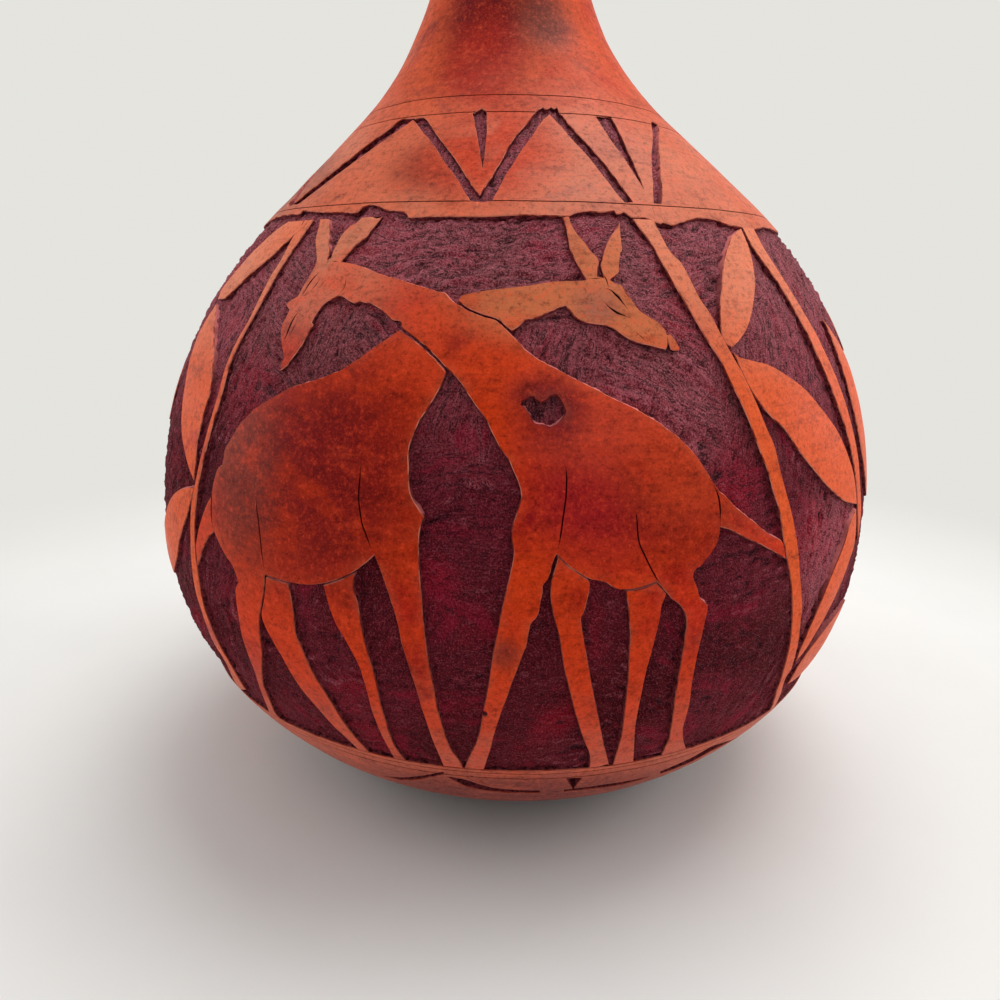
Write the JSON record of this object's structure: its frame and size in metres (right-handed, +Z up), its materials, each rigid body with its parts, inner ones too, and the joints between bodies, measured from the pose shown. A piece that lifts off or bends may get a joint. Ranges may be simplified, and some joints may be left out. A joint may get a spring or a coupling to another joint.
{
  "type": "carved gourd",
  "caption": "Round-bellied dried gourd with a slim neck, its waxed skin carved through to darker wood in giraffes, leafy plants and a zigzag band.",
  "frame": {"origin": "centre of the flat foot, on the surface that the gourd stands on", "axes": "+Z up along the gourd's axis, -Y towards the front scene, +X to the right of that scene"},
  "size_m": [0.1896, 0.19, 0.271],
  "materials": {
    "polished_skin": "waxed gloss, mottled orange to red",
    "giraffe_skin": "waxed gloss, deep red patches",
    "plant_skin": "waxed gloss, mottled orange",
    "carved_ground": "matt dyed wood with gouge marks",
    "dry_stem": "dry and fibrous",
    "seed_husk": "dry papery husk"
  },
  "bodies": {
    "gourd": {"woody_rind": "carved_ground", "neck_and_shoulder_skin": "polished_skin", "base_skin": "polished_skin", "dried_stem": "dry_stem", "blossom_scar": "dry_stem", "front_giraffe": "giraffe_skin", "rear_giraffe_body": "giraffe_skin", "rear_giraffe_neck": "giraffe_skin", "far_legs": "giraffe_skin", "plant_stems": "plant_skin", "plant_leaves": "plant_skin"},
    "loose_seeds": {"seeds": "seed_husk"}
  },
  "joints": [
    {"name": "seeds_rattle", "type": "slide", "parent": "gourd", "child": "loose_seeds", "axis": [0, 0, 1], "range_m": [0, 0.03]}
  ]
}
